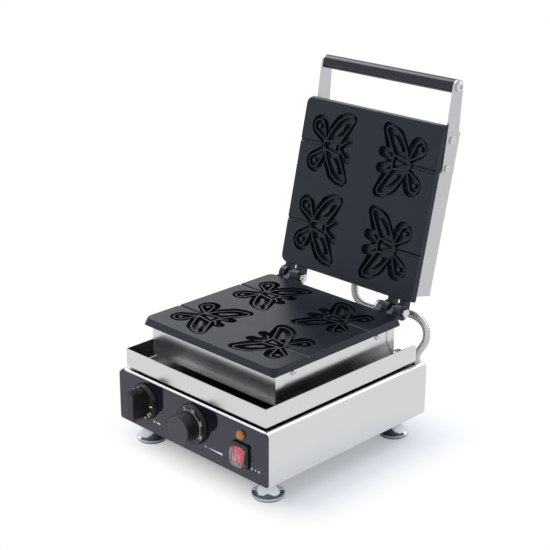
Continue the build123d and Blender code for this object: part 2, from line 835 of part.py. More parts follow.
# Handle arms: flat bars tapering to a round end, screwed through the pan into the plate's lugs
handle_y = front_y + plate_front - handle_reach
handle_z = lid_face + handle_rise
arm_rear = front_y + plate_front + arm_length
arm_low = lid_back + arm_rise
arm_high = arm_low + arm_height
for side, arm_name in ((-1, "handle_arm_left"), (1, "handle_arm_right")):
    with BuildPart() as handle_arm:
        with BuildSketch(Plane.YZ.offset(side * pan_side)):
            blob(
                [
                    (handle_y, handle_z, handle_radius),
                    (front_y + plate_front + arm_knee, arm_high - 2 * arm_corner, arm_corner),
                    (arm_rear - arm_corner, arm_high - arm_corner, arm_corner),
                    (arm_rear - arm_corner, arm_low + arm_corner, arm_corner),
                ]
            )
            with Locations((handle_y, handle_z)):
                Circle(rod_radius, mode=Mode.SUBTRACT)
        extrude(amount=side * arm_sheet)
        add(side_holes(arm_screw_spots), mode=Mode.SUBTRACT)
    write(swung_open(handle_arm.part), arm_name)
arm_screws = side_screws(arm_outside, arm_screw_radius, arm_screw_spots)
write(swung_open(arm_screws), "arm_screws")

# Handle bar: a moulded grip on a steel rod, held by a button screw at each end
with BuildPart() as handle_grip:
    with BuildSketch(Plane.YZ.offset(-pan_side)):
        with Locations((handle_y, handle_z)):
            Circle(handle_radius)
            Circle(rod_radius, mode=Mode.SUBTRACT)
    extrude(amount=2 * pan_side)
write(swung_open(handle_grip.part), "handle_grip")
with BuildPart() as handle_rod:
    with BuildSketch(Plane.YZ.offset(rod_end - arm_outside)):
        with Locations((handle_y, handle_z)):
            Circle(rod_radius)
    extrude(amount=2 * (arm_outside - rod_end))
write(swung_open(handle_rod.part), "handle_rod")
with BuildPart() as handle_screws:
    with BuildSketch(Plane.YZ.offset(arm_outside)):
        with Locations((handle_y, handle_z)):
            Circle(handle_screw_radius)
    extrude(amount=handle_screw_height)
    chamfer(handle_screws.faces().sort_by(Axis.X)[-1].edges(), handle_screw_height / 2)
    with BuildSketch(Plane.YZ.offset(arm_outside)):
        with Locations((handle_y, handle_z)):
            Circle(rod_radius)
    extrude(amount=-rod_end)
    with BuildSketch(Plane.YZ.offset(arm_outside + handle_screw_height)):
        with Locations((handle_y, handle_z)):
            RegularPolygon(socket_flats, 6, major_radius=False)
    extrude(amount=-handle_screw_height / 2, mode=Mode.SUBTRACT)
    mirror(about=Plane.YZ)
write(swung_open(handle_screws.part), "handle_screws")


def heater(level):
    """A tubular heater bent into an open loop with cut corners, its centre line at one level."""
    left = -element_span / 2
    right = element_span / 2
    front = plate_middle - element_length / 2
    rear = plate_middle + element_length / 2
    with BuildPart() as element:
        with BuildLine() as path:
            Polyline(
                (-element_tail, rear, level),
                (left + element_corner, rear, level),
                (left, rear - element_corner, level),
                (left, front + element_corner, level),
                (left + element_corner, front, level),
                (right - element_corner, front, level),
                (right, front + element_corner, level),
                (right, rear - element_corner, level),
                (right - element_corner, rear, level),
                (element_tail, rear, level),
            )
        with BuildSketch(path.line ^ 0):
            Circle(element_radius)
        sweep(transition=Transition.RIGHT)
    return element.part


def insulation(bottom, middle):
    """A pad of mineral wool that lies in a pan under the heater."""
    with BuildPart() as pad:
        with BuildSketch(Plane.XY.offset(bottom)):
            with Locations((0, middle)):
                Rectangle(pan_width - 2 * insulation_margin, pan_depth - 2 * insulation_margin)
                Circle(tray_wire_hole, mode=Mode.SUBTRACT)
        extrude(amount=insulation_thickness)
    return pad.part


# Heaters pressed on the plates' backs, insulation in the pans, and the thermostat's sensor
write(heater(plate_bottom - element_radius), "lower_heater")
write(swung_open(heater(lid_back + element_radius)), "upper_heater")
pad_bottom = bolt_top + pan_bolt_head_height
write(insulation(pad_bottom, lower_pan_middle), "lower_insulation")
upper_pad = insulation(lid_pan_top - pan_sheet - insulation_thickness, lid_pan_middle)
write(swung_open(upper_pad), "upper_insulation")
with BuildPart() as sensor_bulb:
    with BuildSketch(Plane.YZ.offset(-bulb_length / 2)):
        with Locations((plate_middle, plate_bottom - bulb_radius)):
            Circle(bulb_radius)
    extrude(amount=bulb_length)
write(sensor_bulb.part, "sensor_bulb")


def control_bush(x, depth):
    """The threaded bush of a control, flush with the panel, bored for its shaft."""
    with BuildPart() as bush:
        with BuildSketch(Plane.XZ.offset(-front_y)):
            with Locations((x, control_level)):
                Circle(bush_radius)
        extrude(amount=-panel_thickness - sheet - depth)
    return bush.part


def shaft_bore(x):
    with BuildPart() as bore:
        with BuildSketch(Plane.XZ.offset(-front_y)):
            with Locations((x, control_level)):
                Circle(shaft_radius + shaft_fit)
        extrude(amount=-shaft_depth - 1)
    return bore.part


# Timer and thermostat behind the panel
with BuildPart() as timer_body:
    with BuildSketch(Plane.XZ.offset(-inner_front)):
        with Locations((timer_x, control_level)):
            RectangleRounded(timer_box, timer_box, casing_bend / 2)
    extrude(amount=-timer_box_depth)
    add(control_bush(timer_x, sheet))
    add(shaft_bore(timer_x), mode=Mode.SUBTRACT)
write(timer_body.part, "timer_body")
with BuildPart() as thermostat_body:
    with BuildSketch(Plane.XZ.offset(-inner_front)):
        with Locations((thermostat_x, control_level)):
            Circle(thermostat_body_radius)
    extrude(amount=-thermostat_body_depth)
    add(control_bush(thermostat_x, sheet))
    add(shaft_bore(thermostat_x), mode=Mode.SUBTRACT)
write(thermostat_body.part, "thermostat_body")


def knob_skirt(x, radius):
    """A dial skirt, a little smaller at its front face."""
    with BuildPart() as skirt:
        with BuildSketch(Plane.XZ.offset(knob_gap - front_y)):
            with Locations((x, control_level)):
                Circle(radius)
        extrude(amount=skirt_thickness, taper=skirt_taper)
    return skirt.part


def knob_shaft(x):
    """A control shaft from inside the knob to inside the control."""
    with BuildPart() as shaft:
        with BuildSketch(Plane.XZ.offset(knob_gap + knob_bore_depth - front_y)):
            with Locations((x, control_level)):
                Circle(shaft_radius)
        extrude(amount=-knob_gap - knob_bore_depth - shaft_depth)
    return shaft.part


# Knobs, each pressed on its shaft
skirt_front = Plane.XZ.offset(knob_gap + skirt_thickness - front_y)
with BuildPart() as timer_knob:
    add(knob_skirt(timer_x, timer_skirt_radius))
    with BuildSketch(skirt_front):
        with Locations((timer_x, control_level)):
            RectangleRounded(bar_width, bar_length, bar_width / 4)
    extrude(amount=bar_height, taper=bar_draft)
    add(knob_shaft(timer_x), mode=Mode.SUBTRACT)
write(timer_knob.part, "timer_knob")
write(knob_shaft(timer_x), "timer_shaft")

with BuildPart() as thermostat_knob:
    add(knob_skirt(thermostat_x, thermostat_skirt_radius))
    with BuildSketch(skirt_front):
        with Locations((thermostat_x, control_level)):
            Circle(grip_radius)
    extrude(amount=grip_length)
    chamfer(thermostat_knob.faces().sort_by(Axis.Y)[0].edges(), grip_chamfer)
    add(knob_shaft(thermostat_x), mode=Mode.SUBTRACT)
write(thermostat_knob.part, "thermostat_knob")
write(knob_shaft(thermostat_x), "thermostat_shaft")

# Indicator lamp: a domed lens with a stem through the panel, and its holder behind
with BuildPart() as power_lamp:
    with BuildSketch(Plane.XZ.offset(-front_y)):
        with Locations((switch_x, lamp_level)):
            Circle(lamp_radius)
    extrude(amount=lamp_stand)
    chamfer(power_lamp.faces().sort_by(Axis.Y)[0].edges(), lamp_dome)
    with BuildSketch(Plane.XZ.offset(-front_y)):
        with Locations((switch_x, lamp_level)):
            Circle(lamp_stem_radius)
    extrude(amount=-panel_thickness - sheet)
write(power_lamp.part, "power_lamp")
with BuildPart() as lamp_holder:
    with BuildSketch(Plane.XZ.offset(-inner_front)):
        with Locations((switch_x, lamp_level)):
            Circle(lamp_body_radius)
    extrude(amount=-lamp_body_length)
write(lamp_holder.part, "lamp_holder")

# Rocker switch: bezel and body in one moulding, with a well for the rocker
well_width = rocker_width + 2 * rocker_gap
well_height = 2 * (rocker_radius + rocker_gap)
with BuildPart() as switch_housing:
    with BuildSketch(Plane.XZ.offset(-front_y)):
        with Locations((switch_x, switch_level)):
            RectangleRounded(bezel_width, bezel_height, bezel_round)
    extrude(amount=bezel_stand)
    chamfer(switch_housing.faces().sort_by(Axis.Y)[0].edges(), bezel_stand / 4)
    with BuildSketch(Plane.XZ.offset(-front_y)):
        with Locations((switch_x, switch_level)):
            Rectangle(switch_body_width, switch_body_height)
    extrude(amount=-switch_body_depth)
    with BuildSketch(Plane.XZ.offset(bezel_stand - front_y)):
        with Locations((switch_x, switch_level)):
            Rectangle(well_width, well_height)
    extrude(amount=-bezel_stand - rocker_pivot - rocker_radius - rocker_gap, mode=Mode.SUBTRACT)
write(switch_housing.part, "switch_housing")

# Rocker: curved ends centred on its pivot, a shallow notch across its front, one end pressed
pivot_y = front_y + rocker_pivot
with BuildPart() as rocker:
    with BuildSketch(Plane.YZ.offset(switch_x - rocker_width / 2)):
        with Locations((pivot_y, switch_level)):
            Circle(rocker_radius)
        with BuildLine():
            Polyline(
                (pivot_y - rocker_front, switch_level + rocker_radius),
                (pivot_y - rocker_front + rocker_notch, switch_level),
                (pivot_y - rocker_front, switch_level - rocker_radius),
                (pivot_y + rocker_back, switch_level - rocker_radius),
                (pivot_y + rocker_back, switch_level + rocker_radius),
                close=True,
            )
        make_face(mode=Mode.INTERSECT)
    extrude(amount=rocker_width)
pivot_axis = Axis((0, pivot_y, switch_level), (1, 0, 0))
write(rocker.part.rotate(pivot_axis, -rocker_swing / 2), "rocker")

# Clear splash cover over the rocker
with BuildPart() as rocker_cover:
    with BuildSketch(Plane.XZ.offset(bezel_stand - front_y)):
        with Locations((switch_x, switch_level)):
            RectangleRounded(cover_width, cover_height, cover_round)
    extrude(amount=cover_stand - bezel_stand)
    offset(amount=-cover_wall, openings=rocker_cover.faces().sort_by(Axis.Y)[-1])
write(rocker_cover.part, "rocker_cover")

# Wiring block on the base, and the mains gland through the rear panel
with BuildPart() as terminal_block:
    with BuildSketch(Plane.XY.offset(foot_height + sheet)):
        with Locations((mains_gland_x, rear_y - 3 * terminal_width)):
            Rectangle(terminal_length, terminal_width)
    extrude(amount=terminal_height)
write(terminal_block.part, "terminal_block")
with BuildPart() as mains_gland:
    with BuildSketch(Plane.XZ.offset(-rear_y)):
        with Locations((mains_gland_x, foot_height + mains_gland_z)):
            RegularPolygon(mains_gland_flats / 2, 6, major_radius=False)
    extrude(amount=-mains_flange)
    with BuildSketch(Plane.XZ.offset(-rear_y - mains_flange)):
        with Locations((mains_gland_x, foot_height + mains_gland_z)):
            Circle(mains_gland_flats / 2 - 1)
    extrude(amount=-(mains_gland_length - mains_flange), taper=6)
    with BuildSketch(Plane.XZ.offset(-rear_y)):
        with Locations((mains_gland_x, foot_height + mains_gland_z)):
            Circle(mains_nose_radius)
    extrude(amount=sheet + mains_flange)
    with BuildSketch(Plane.XZ.offset(-rear_y - mains_gland_length)):
        with Locations((mains_gland_x, foot_height + mains_gland_z)):
            Circle(mains_bore)
    extrude(amount=mains_gland_length + sheet + mains_flange, mode=Mode.SUBTRACT)
write(mains_gland.part, "mains_gland")

# Hose glands on the casing top and on the lid pan's rear wall
with BuildPart() as hose_gland:
    with BuildSketch(Plane.XY.offset(casing_top)):
        with Locations((hose_x, front_y + hose_y)):
            Circle(hose_gland_radius)
    extrude(amount=hose_gland_height)
    chamfer(hose_gland.faces().sort_by(Axis.Z)[-1].edges(), 0.5)
write(hose_gland.part, "hose_gland")
with BuildPart() as lid_hose_gland:
    with BuildSketch(Plane.XZ.offset(-front_y - lid_pan_front - pan_depth)):
        with Locations((lid_gland_x, lid_back + lid_gland_rise)):
            RegularPolygon(lid_gland_flats / 2, 6, major_radius=False)
    extrude(amount=-lid_gland_length)
    chamfer(lid_hose_gland.faces().sort_by(Axis.Y)[-1].edges(), 1)
write(swung_open(lid_hose_gland.part), "lid_hose_gland")

# The hose's route: down out of the lid's gland, across behind the hinge, down to the casing
hose_route = [
    (-2.0, 120.6, 159.9),
    (-2.0, 117.8, 147.5),
    (8.5, 118.4, 134.5),
    (32.0, 119.0, 134.0),
    (66.0, 118.5, 141.0),
    (98.0, 116.8, 146.0),
    (118.0, 113.6, 138.5),
    (123.0, 109.6, 122.5),
    (117.4, 105.9, 110.0),
    (113.0, 103.1, 103.0),
    (113.0, 103.1, 95.6),
]


def bend_radii(route):
    """The largest arc that the two runs at each corner of the route leave room for."""
    radii = []
    for before, corner, after in zip(route, route[1:], route[2:]):
        run_in = Vector(corner) - Vector(before)
        run_out = Vector(after) - Vector(corner)
        turn = radians(run_in.get_angle(run_out))
        radii.append(0.45 * min(run_in.length, run_out.length) / tan(turn / 2))
    return radii


hose_radii = bend_radii(hose_route)
with BuildPart() as hose:
    with BuildLine() as hose_path:
        FilletPolyline(*hose_route, radius=hose_radii)
    with BuildSketch(hose_path.line ^ 0):
        Circle(hose_radius)
    sweep()
write(hose.part, "hose")
print("hose bend radii", [round(radius, 1) for radius in hose_radii])
print("hose length", round(hose_path.wire().length, 1), "volume", round(hose.part.volume))
print("front edge of the casing at y", round(front_y, 2))
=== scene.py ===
from math import cos, pi, radians, sin

import bmesh
import bpy
from mathutils import Matrix, Vector
from mathutils.geometry import convex_hull_2d


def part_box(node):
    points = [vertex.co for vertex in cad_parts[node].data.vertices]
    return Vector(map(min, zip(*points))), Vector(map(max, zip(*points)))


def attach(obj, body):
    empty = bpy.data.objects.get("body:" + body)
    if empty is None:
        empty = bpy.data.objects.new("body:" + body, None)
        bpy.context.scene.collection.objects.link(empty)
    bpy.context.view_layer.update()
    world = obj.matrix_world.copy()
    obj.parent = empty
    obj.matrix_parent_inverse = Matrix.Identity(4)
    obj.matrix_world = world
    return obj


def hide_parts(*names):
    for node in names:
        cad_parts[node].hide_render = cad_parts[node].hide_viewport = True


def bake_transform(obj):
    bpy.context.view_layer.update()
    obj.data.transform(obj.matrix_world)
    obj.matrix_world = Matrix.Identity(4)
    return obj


# A waffle stick maker on a pale floor: stainless casing and drip tray, two coated cast plates,
# a hinged lid, a row of controls and a ribbed metal hose. Metres throughout.
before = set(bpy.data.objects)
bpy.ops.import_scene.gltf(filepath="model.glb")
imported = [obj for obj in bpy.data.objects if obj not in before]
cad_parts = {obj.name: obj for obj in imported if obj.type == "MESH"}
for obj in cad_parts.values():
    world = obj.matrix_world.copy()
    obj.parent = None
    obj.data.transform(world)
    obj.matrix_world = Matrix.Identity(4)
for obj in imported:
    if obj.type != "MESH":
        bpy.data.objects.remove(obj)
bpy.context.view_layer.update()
scene = bpy.context.scene
scene.view_settings.view_transform = "Standard"

# Camera
# The photograph's viewpoint, solved from the straight edges of casing, tray and plates: a long
# lens at the user's right, looking down a little on the open machine.
camera_place = (1.0597, -1.0985, 0.7683)
camera_turn = radians(44.612)
camera_tilt = radians(20.381)
camera_roll = radians(0.216)
camera_data = bpy.data.cameras.new("camera")
camera_data.sensor_width = 36
camera_data.lens = 90.29
camera = bpy.data.objects.new("camera", camera_data)
scene.collection.objects.link(camera)
aim = Matrix.Rotation(camera_turn, 4, "Z") @ Matrix.Rotation(pi / 2 - camera_tilt, 4, "X")
camera.matrix_world = Matrix.Translation(camera_place) @ aim @ Matrix.Rotation(camera_roll, 4, "Z")
scene.camera = camera

# Hose
# A stainless corrugated hose that carries the lid's heater leads, bent by hand behind the hinge.
# Rolled ribs run round it, and a gland clamps it at each end.
hose_route = [
    (-0.0020, 0.1206, 0.1599),
    (-0.0020, 0.1178, 0.1475),
    (0.0085, 0.1184, 0.1345),
    (0.0320, 0.1190, 0.1340),
    (0.0660, 0.1185, 0.1410),
    (0.0980, 0.1168, 0.1460),
    (0.1180, 0.1136, 0.1385),
    (0.1230, 0.1096, 0.1225),
    (0.1174, 0.1059, 0.1100),
    (0.1130, 0.1031, 0.1030),
    (0.1130, 0.1031, 0.0956),
]
hose_radius = 0.0048
hose_groove_radius = 0.0042
hose_rib_pitch = 0.0020
hose_steps_per_rib = 4
hose_sides = 24


def linear(hex_colour):
    """A colour written as an sRGB hex value, as the linear RGBA that Blender's sockets take."""
    channels = [int(hex_colour[i : i + 2], 16) / 255 for i in (1, 3, 5)]
    return [c / 12.92 if c <= 0.04045 else ((c + 0.055) / 1.055) ** 2.4 for c in channels] + [1]


def add_node(tree, kind, settings=None, links=None):
    """A node with its settings, on its inputs or on itself, and its incoming links."""
    node = tree.nodes.new(kind)
    for name, value in (settings or {}).items():
        if isinstance(name, int) or name in node.inputs:
            node.inputs[name].default_value = value
        else:
            setattr(node, name, value)
    for name, socket in (links or {}).items():
        tree.links.new(socket, node.inputs[name])
    return node


def start_material(name, hex_colour, roughness, more=None):
    """A material of one colour and roughness, with more of its shader's sockets set by name."""
    material = bpy.data.materials.new(name)
    material.use_nodes = True
    shader = material.node_tree.nodes["Principled BSDF"]
    shader.inputs["Base Color"].default_value = linear(hex_colour)
    shader.inputs["Roughness"].default_value = roughness
    for socket, value in (more or {}).items():
        shader.inputs[socket].default_value = value
    return material


def mottle(material, size, detail=2, stretch=(1, 1, 1)):
    """An irregular pattern fixed to the piece, its grain a size in metres and longer by the stretch."""
    tree = material.node_tree
    place = add_node(tree, "ShaderNodeTexCoord")
    scale = [1 / (size * factor) for factor in stretch]
    grain = add_node(tree, "ShaderNodeMapping", {"Scale": scale}, {"Vector": place.outputs["Object"]})
    settings = {"Scale": 1, "Detail": detail}
    return add_node(tree, "ShaderNodeTexNoise", settings, {"Vector": grain.outputs[0]}).outputs[0]


def spread(material, socket, pattern, low, high, pattern_low=0.35, pattern_high=0.65):
    """Gives one of the shader's sockets a range of values that a pattern runs through."""
    tree = material.node_tree
    settings = {"From Min": pattern_low, "From Max": pattern_high, "To Min": low, "To Max": high}
    ranged = add_node(tree, "ShaderNodeMapRange", settings, {"Value": pattern})
    tree.links.new(ranged.outputs[0], tree.nodes["Principled BSDF"].inputs[socket])


def dress(material, *nodes):
    """Gives CAD nodes their finish."""
    for node in nodes:
        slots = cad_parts[node].data.materials
        slots.clear()
        slots.append(material)


def in_scene(name, mesh):
    """An object in the scene, made from a bmesh that is then let go."""
    data = bpy.data.meshes.new(name)
    mesh.to_mesh(data)
    mesh.free()
    piece = bpy.data.objects.new(name, data)
    scene.collection.objects.link(piece)
    return piece


def smooth_line(route):
    """Points along the smooth curve that the route's points control."""
    curve = bpy.data.curves.new("route", "CURVE")
    curve.dimensions = "3D"
    curve.resolution_u = 32
    spline = curve.splines.new("NURBS")
    spline.points.add(len(route) - 1)
    for point, place in zip(spline.points, route):
        point.co = (*place, 1)
    spline.order_u = 3
    spline.use_endpoint_u = True
    holder = bpy.data.objects.new("route", curve)
    scene.collection.objects.link(holder)
    mesh = bpy.data.meshes.new_from_object(holder)
    line = [vertex.co.copy() for vertex in mesh.vertices]
    bpy.data.objects.remove(holder)
    bpy.data.meshes.remove(mesh)
    return line


def even_points(line, step):
    """The same line, with its points a fixed step apart."""
    places = [line[0].copy()]
    left = step
    for start, end in zip(line, line[1:]):
        run = end - start
        while left <= run.length:
            places.append(start + run.normalized() * left)
            left += step
        left -= run.length
    if (places[-1] - line[-1]).length > step / 10:
        places.append(line[-1].copy())
    return places


hose_line = even_points(smooth_line(hose_route), hose_rib_pitch / hose_steps_per_rib)
hose_mesh = bmesh.new()
side_way = Vector((1, 0, 0))
rings = []
for index, place in enumerate(hose_line):
    ahead = hose_line[min(index + 1, len(hose_line) - 1)]
    behind = hose_line[max(index - 1, 0)]
    along = (ahead - behind).normalized()
    side_way = (side_way - along * side_way.dot(along)).normalized()
    other_way = along.cross(side_way)
    swell = 0.5 + 0.5 * cos(2 * pi * index / hose_steps_per_rib)
    radius = hose_groove_radius + (hose_radius - hose_groove_radius) * swell
    ring = []
    for side in range(hose_sides):
        turn = 2 * pi * side / hose_sides
        outwards = side_way * cos(turn) + other_way * sin(turn)
        ring.append(hose_mesh.verts.new(place + radius * outwards))
    rings.append(ring)
for ring, next_ring in zip(rings, rings[1:]):
    for side in range(hose_sides):
        after = (side + 1) % hose_sides
        hose_mesh.faces.new((ring[side], ring[after], next_ring[after], next_ring[side]))
hose_mesh.faces.new(reversed(rings[0]))
hose_mesh.faces.new(rings[-1])
ribbed_hose = in_scene("ribbed_hose", hose_mesh)
for polygon in ribbed_hose.data.polygons:
    polygon.use_smooth = True
# Rolled stainless strip: bright, with uneven gloss where hands have bent it
rolled_stainless = start_material("rolled_stainless_hose", "#C2C4C3", 0.3, {"Metallic": 1})
handling_size = 0.012
spread(rolled_stainless, "Roughness", mottle(rolled_stainless, handling_size), 0.22, 0.38)
ribbed_hose.data.materials.append(rolled_stainless)
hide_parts("hose")
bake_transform(ribbed_hose)
dress(rolled_stainless, "hose_gland", "lid_hose_gland")

# Sheet metal
# Casing wrap, rear panel, drip tray, pans and arms are 1 mm stainless, rolled and folded. It is
# pale and satin, with a faint grain along the sheet, and handling has left it a little uneven.
# Painted shade darkens its colour where the tray and pans are closed in, and the lid's sheet is a
# darker, shaded copy all over.
grain_width = 0.0008
grain_stretch = 60
smudge_size = 0.03
painted_shade_reach = 0.05
darkest_shade_at = 0.06
shade_free_at = 0.55


def tint(material, pattern, low, high):
    """Colours the surface between two colours, each given with the pattern value it starts at."""
    tree = material.node_tree
    ramp = add_node(tree, "ShaderNodeValToRGB", None, {"Fac": pattern})
    for element, (position, colour) in zip(ramp.color_ramp.elements, (low, high)):
        element.position = position
        element.color = linear(colour)
    tree.links.new(ramp.outputs[0], tree.nodes["Principled BSDF"].inputs["Base Color"])


def satin_steel(name, open_colour, painted_shade_colour):
    """Rolled stainless sheet of one batch, with its colour in the open and its painted shade where it
    is closed in.
    """
    steel = start_material(name, open_colour, 0.2, {"Metallic": 1})
    tree = steel.node_tree
    grain = mottle(steel, grain_width, stretch=(grain_stretch, grain_stretch, 1))
    smudges = mottle(steel, smudge_size, detail=3)
    uneven = add_node(tree, "ShaderNodeMath", {"operation": "ADD"}, {0: grain, 1: smudges})
    spread(steel, "Roughness", uneven.outputs[0], 0.19, 0.24, 0.6, 1.4)
    # Painted shade: an occlusion pattern runs the colour darker where the sheet is closed in
    painted_shade_mask = add_node(tree, "ShaderNodeAmbientOcclusion", {"Distance": painted_shade_reach, "samples": 8})
    painted_shade_end = (darkest_shade_at, painted_shade_colour)
    tint(steel, painted_shade_mask.outputs["AO"], painted_shade_end, (shade_free_at, open_colour))
    return steel


dress(
    satin_steel("satin_stainless_sheet", "#D5D6D8", "#8C8C8B"),
    "casing_shell",
    "rear_panel",
    "drip_tray",
    "lower_pan",
)
# The lid's sheet is the same steel, painted darker all over as painted shade
dress(
    satin_steel("satin_stainless_lid_sheet", "#C0C1C4", "#828284"),
    "upper_pan",
    "handle_arm_left",
    "handle_arm_right",
)

# Base and front sheet
# The base plate and the front sheet that carries the controls are galvanised steel, pressed and
# slotted: dull grey with a faint spangle, out of sight under and behind the casing.
galvanised = start_material("galvanised_sheet", "#7C8084", 0.45, {"Metallic": 1})
spangle_size = 0.008
spread(galvanised, "Roughness", mottle(galvanised, spangle_size, detail=0), 0.38, 0.55)
dress(galvanised, "base_plate", "front_sheet")

# Control panel
# A printed film on a flat plate, deep blue-black and glossy, so it mirrors the room and the
# knobs. Polish has left a trace of cloudiness.
film_gloss = {"Specular IOR Level": 0.62, "Specular Tint": (0.84, 0.86, 1, 1)}
panel_film = start_material("gloss_black_panel_film", "#121222", 0.06, film_gloss)
spread(panel_film, "Roughness", mottle(panel_film, smudge_size), 0.05, 0.09)
dress(panel_film, "control_panel")

# Panel print
# White screen-printed marks on the film, matt like dry ink: a clock and a short wedge for the
# timer, three strokes and a rising wedge for the heat, and power, on and off by the switch.
print_ink = start_material("white_screen_ink", "#FFFFFF", 0.5)
ink_grain = 0.0002
spread(print_ink, "Roughness", mottle(print_ink, ink_grain), 0.4, 0.6)
print_thickness = 0.00006
arc_parts = 20


def fan_points(centre, radius, count, start=0.0, stop=2 * pi):
    """Points round an arc, counted clockwise from the top, as x and z."""
    turns = [start + (stop - start) * index / count for index in range(count + 1)]
    return [(centre[0] + radius * sin(turn), centre[1] + radius * cos(turn)) for turn in turns]


def stroke(start, end, width, end_width=None):
    """A straight printed line as one outline, the same width or tapering."""
    along = (Vector(end) - Vector(start)).normalized()
    across = Vector((-along.y, along.x))
    half = width / 2
    end_half = (width if end_width is None else end_width) / 2
    corners = [
        Vector(start) + across * half,
        Vector(start) - across * half,
        Vector(end) - across * end_half,
        Vector(end) + across * end_half,
    ]
    return [tuple(corner) for corner in corners]


def arc_strokes(centre, radius, width, start=0.0, stop=2 * pi):
    """A printed arc as short outlines."""
    outer = fan_points(centre, radius + width / 2, arc_parts, start, stop)
    inner = fan_points(centre, radius - width / 2, arc_parts, start, stop)
    return [[outer[i], outer[i + 1], inner[i + 1], inner[i]] for i in range(arc_parts)]


def printed(name, outlines, depth, body):
    """Flat marks facing the user, drawn as x and z outlines at one depth, riding on a body."""
    mesh = bmesh.new()
    for outline in outlines:
        mesh.faces.new([mesh.verts.new((x, depth, z)) for x, z in outline])
    mesh.normal_update()
    for face in mesh.faces:
        if face.normal.y > 0:
            face.normal_flip()
    marks = in_scene(name, mesh)
    marks.data.materials.append(print_ink)
    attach(marks, body)


panel_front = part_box("control_panel")[0].y
panel_ink_front = panel_front - print_thickness
mark_height = 0.0026
mark_line = 0.0005
mark_level = 0.0436
wedge_tip = 0.0002
timer_wedge_end = 0.0022
heat_wedge_end = 0.0024
on_line = 0.0009
off_radius = 0.001
off_line = mark_line * 1.3
clock_mark = (-0.0636, mark_level)
minute_hand = (clock_mark[0], clock_mark[1] + 0.0011)
hour_hand = (clock_mark[0] + 0.0009, clock_mark[1])
timer_marks = arc_strokes(clock_mark, mark_height / 2, mark_line)
timer_marks += [stroke(clock_mark, hand, mark_line) for hand in (minute_hand, hour_hand)]
timer_wedge = stroke((-0.0612, mark_level), (-0.0525, mark_level), wedge_tip, timer_wedge_end)
timer_marks.append(timer_wedge)
printed("timer_sign", timer_marks, panel_ink_front, "base")
heat_marks = [stroke((0.0300, 0.0434), (0.0534, 0.0434), wedge_tip, heat_wedge_end)]
heat_marks += [stroke((x, 0.0424), (x, 0.0446), mark_line) for x in (0.0240, 0.0256, 0.0272)]
printed("heat_sign", heat_marks, panel_ink_front, "base")
power_mark = (0.1002, mark_level)
power_gap = radians(35)
power_marks = arc_strokes(power_mark, mark_height / 2, mark_line, power_gap, 2 * pi - power_gap)
power_marks.append(stroke(power_mark, (power_mark[0], power_mark[1] + 0.0018), mark_line))
on_mark = stroke((0.1062, 0.0424), (0.1062, 0.0448), on_line)
off_marks = arc_strokes((0.1114, mark_level), off_radius, off_line)
printed("power_sign", power_marks + [on_mark] + off_marks, panel_ink_front, "base")

# Cooking plates
# Cast aluminium, machined on the face and sprayed with a dark non-stick coating that is baked on.
# It is satin and a little blue, with a slight pebble from the spray and softly broken edges.
coating_gloss = {"Specular IOR Level": 0.4, "Specular Tint": (0.76, 0.86, 1, 1)}
coating = start_material("baked_nonstick_coating", "#10151F", 0.34, coating_gloss)
pebble_size = 0.0012


def emboss(material, pattern, strength, distance, edge=0.0):
    """Raises a pattern on the surface, and rounds the piece's edges by a radius."""
    tree = material.node_tree
    settings = {"Strength": strength, "Distance": distance}
    bump = add_node(tree, "ShaderNodeBump", settings, {"Height": pattern})
    if edge:
        soft_edge = add_node(tree, "ShaderNodeBevel", {"Radius": edge})
        tree.links.new(soft_edge.outputs[0], bump.inputs["Normal"])
    tree.links.new(bump.outputs[0], tree.nodes["Principled BSDF"].inputs["Normal"])


emboss(coating, mottle(coating, pebble_size), 0.2, 0.0001, edge=0.0006)
spread(coating, "Roughness", mottle(coating, smudge_size, detail=4), 0.31, 0.37)

# The plates' own shape: a slab with drafted sides and four winged cavities, whose thin ridges and
# islands stand nearly as high as the face. Ears and screw lugs are carried over from the frame.
mm = 0.001
plate_face = 0.1555
lid_face = 0.1560
plate_middle = -0.028592
plate_half_width = 0.1085
plate_half_depth = 0.1067
plate_thickness = 0.00985
plate_corner = 0.009
plate_back_corner = 0.0035
plate_draft = 0.0008
plate_edge = 0.001
ear_hold = 0.00004
cavity_x = 0.0546
cavity_spacing = 0.1016
cavity_depth = 0.0062
ridge_top = -0.001
# From here to hind_island in mm from a cavity's middle: x, y, radius of a circle, or x, y of a corner
ridge_width = 1.8
body_outline = [(-10.0, 0.0, 6.3), (10.5, 0.0, 10.5)]
wing_outlines = [
    [(26.0, 38.2, 7.5), (18.5, 35.0, 10.2), (10.5, 29.5, 12.2), (3.5, 19.5, 12.0), (12.0, 13.0, 10.5)],
    [(-23.5, 22.5, 13.6), (-11.0, 7.0, 6.9)],
    [(-6.0, 8.0, 5.0), (0.0, 8.0, 5.0)],
    [(17.0, 7.0, 6.5), (28.4, 9.8, 6.3)],
]
body_ridge = [(9.2, 5.6, 3.6), (9.2, -5.6, 3.6), (-12.0, 2.6, 3.0), (-12.0, -2.6, 3.0)]
wing_ridges = [
    [
        (24.2, 36.6, 5.2),
        (17.0, 33.2, 7.6),
        (9.5, 27.0, 8.6),
        (9.4, 8.0, 2.4),
        (-6.6, 13.6, 2.4),
        (-8.6, 7.0, 2.4),
    ],
    [(-26.3, 22.2, 8.9), (-13.6, 8.0, 2.4)],
]
feeler_ridge = [(12.5, 1.5), (22.8, 9.4), (21.8, 10.8), (11.5, 2.9)]
body_island = [(6.6, 3.4), (6.6, -3.4), (-6.2, 0.0)]
fore_island = [(17.2, 31.8), (12.0, 28.6), (2.0, 18.4), (0.6, 14.4), (4.0, 13.4), (12.6, 21.8)]
hind_island = [(-25.6, 21.8, 2.7)]
# In metres again
stick_half_width = 0.0026
stick_depth = 0.0023
stick_start = 0.0716
hinge_line = (0.091608, 0.1559)
lid_angle = radians(-102.93)
circle_steps = 32


